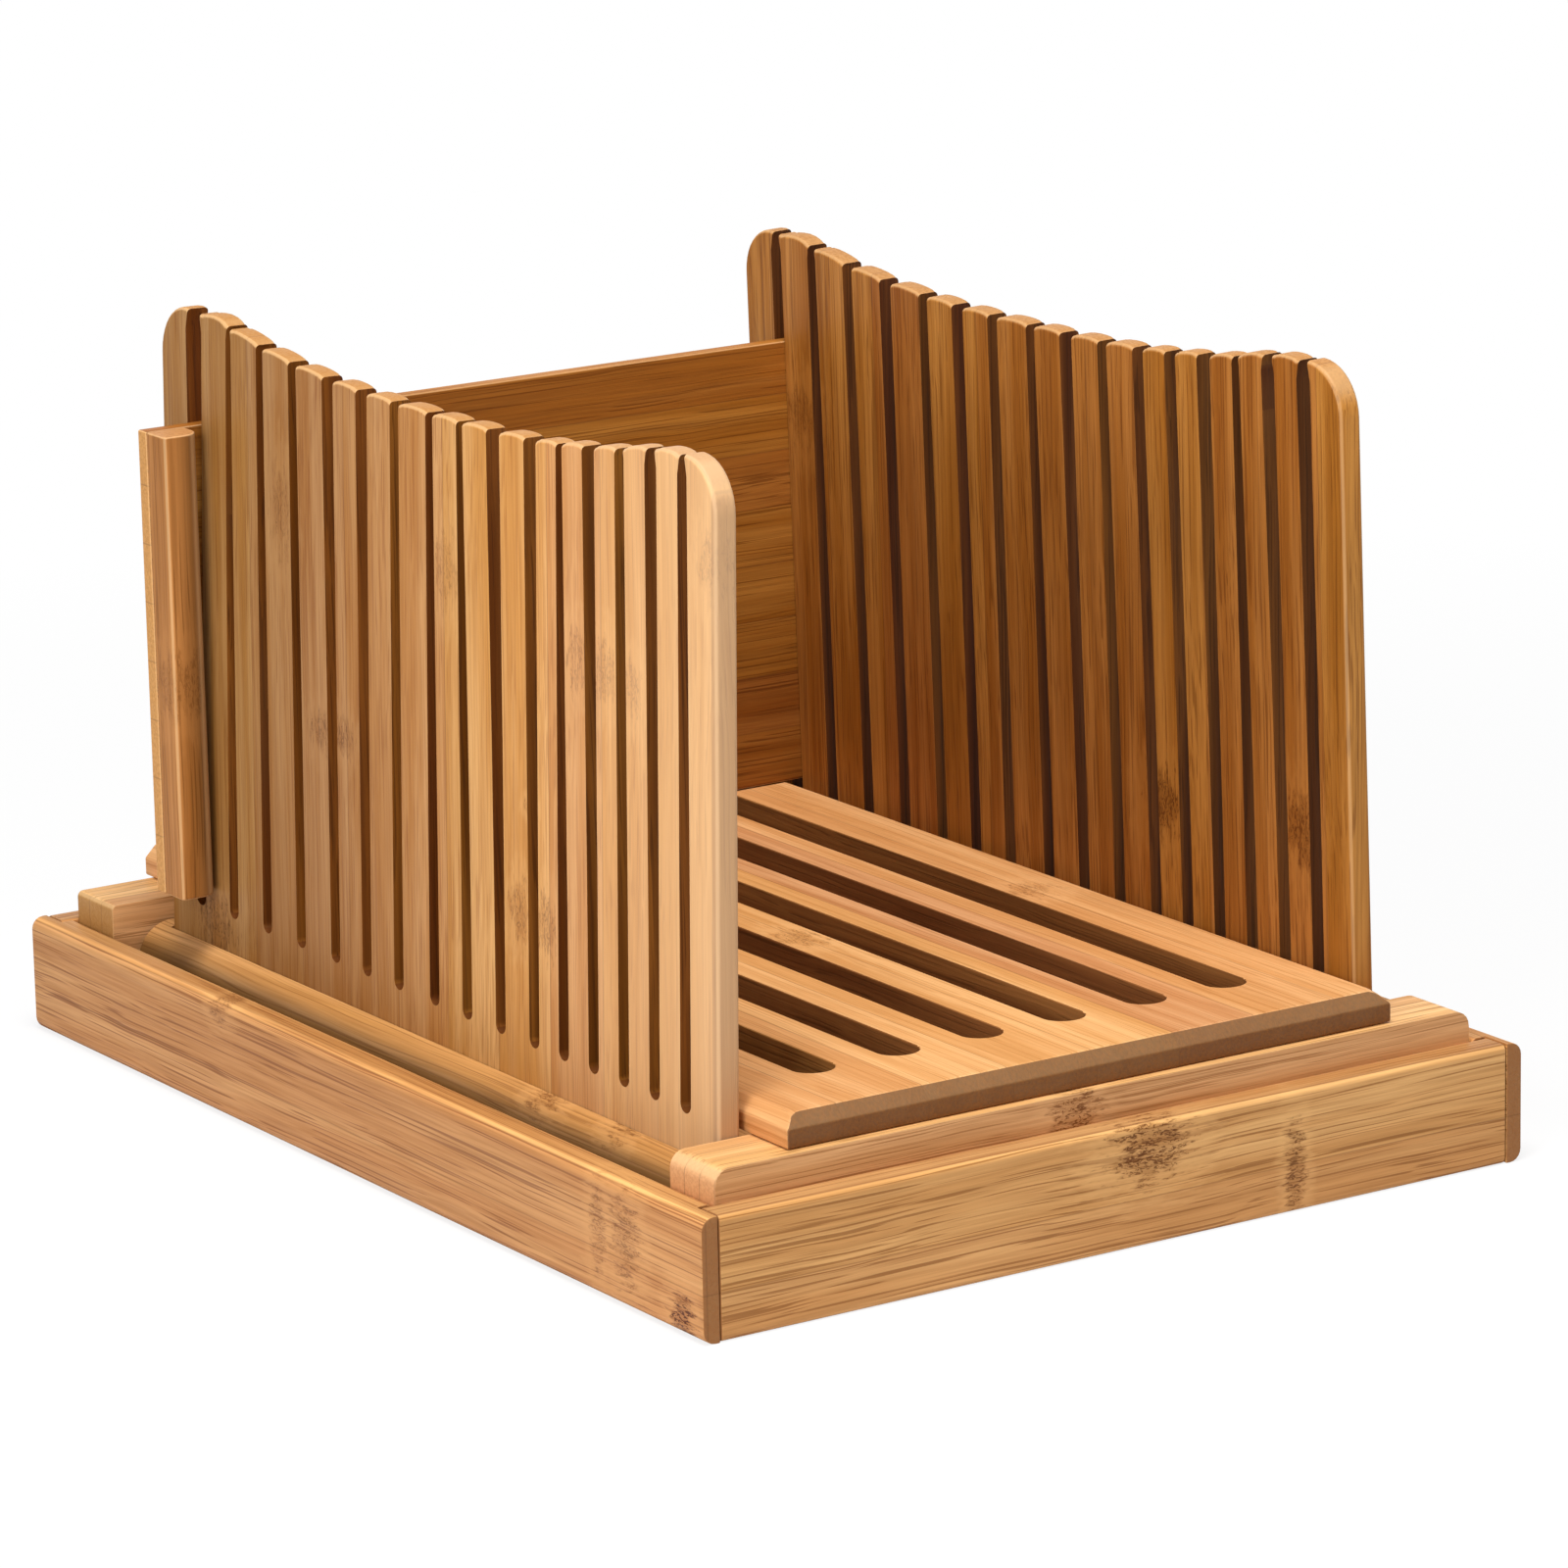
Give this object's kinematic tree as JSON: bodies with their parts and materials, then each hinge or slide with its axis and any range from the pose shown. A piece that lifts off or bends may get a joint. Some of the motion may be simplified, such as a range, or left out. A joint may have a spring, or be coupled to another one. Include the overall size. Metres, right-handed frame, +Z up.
{
  "type": "bread slicing guide",
  "caption": "Bamboo loaf slicing guide: slotted hinged side guides, slotted deck board and back stop on a lift-out frame in a crumb tray",
  "frame": {"origin": "on the table under the middle of the crumb tray, at the middle of the bottom of the whole object's box", "axes": "+Z up, +Y from the open front of the loaf channel to the back stop, +X to the right as seen from the front"},
  "size_m": [0.2402, 0.33, 0.199],
  "materials": {
    "tray_left_wall": "oiled carbonised bamboo, satin",
    "tray_right_wall": "oiled carbonised bamboo, satin",
    "tray_front_wall": "oiled carbonised bamboo, satin",
    "tray_rear_wall": "oiled carbonised bamboo, satin",
    "tray_floor": "oiled carbonised bamboo, satin",
    "front_rail": "oiled carbonised bamboo, satin",
    "rear_rail": "oiled carbonised bamboo, satin",
    "deck_board": "oiled carbonised bamboo, satin",
    "left_guide": "oiled carbonised bamboo, satin",
    "right_guide": "oiled carbonised bamboo, satin",
    "left_pivot_bar": "oiled carbonised bamboo, satin",
    "right_pivot_bar": "oiled carbonised bamboo, satin",
    "back_board": "oiled carbonised bamboo, satin",
    "left_cleat": "oiled carbonised bamboo, satin",
    "right_cleat": "oiled carbonised bamboo, satin",
    "left_front_pivot_screw": "zinc-plated steel",
    "left_rear_pivot_screw": "zinc-plated steel",
    "right_front_pivot_screw": "zinc-plated steel",
    "right_rear_pivot_screw": "zinc-plated steel"
  },
  "bodies": {
    "tray": {"tray_left_wall": "tray_left_wall", "tray_right_wall": "tray_right_wall", "tray_front_wall": "tray_front_wall", "tray_rear_wall": "tray_rear_wall", "tray_floor": "tray_floor"},
    "frame": {"front_rail": "front_rail", "rear_rail": "rear_rail"},
    "deck": {"deck_board": "deck_board"},
    "back_stop": {"back_board": "back_board", "left_cleat": "left_cleat", "right_cleat": "right_cleat"},
    "left_swing": {"left_guide": "left_guide", "left_pivot_bar": "left_pivot_bar", "left_front_pivot_screw": "left_front_pivot_screw", "left_rear_pivot_screw": "left_rear_pivot_screw"},
    "right_swing": {"right_guide": "right_guide", "right_pivot_bar": "right_pivot_bar", "right_front_pivot_screw": "right_front_pivot_screw", "right_rear_pivot_screw": "right_rear_pivot_screw"}
  },
  "joints": [
    {"name": "frame_lift", "type": "slide", "parent": "tray", "child": "frame", "axis": [0, 0, 1], "range_m": [0, 0.04]},
    {"name": "deck_slide", "type": "slide", "parent": "frame", "child": "deck", "axis": [0, -1, 0], "range_m": [0, 0.32]},
    {"name": "back_stop_lift", "type": "slide", "parent": "frame", "child": "back_stop", "axis": [0, 0, 1], "range_m": [0, 0.155]},
    {"name": "left_guide_swing", "type": "hinge", "parent": "frame", "child": "left_swing", "pos_m": [-0.0942, 0, 0.0224], "axis": [0, 1, 0], "range_deg": [-1.25, 3.3]},
    {"name": "right_guide_swing", "type": "hinge", "parent": "frame", "child": "right_swing", "pos_m": [0.0942, 0, 0.0224], "axis": [0, -1, 0], "range_deg": [-1.25, 3.3]}
  ]
}
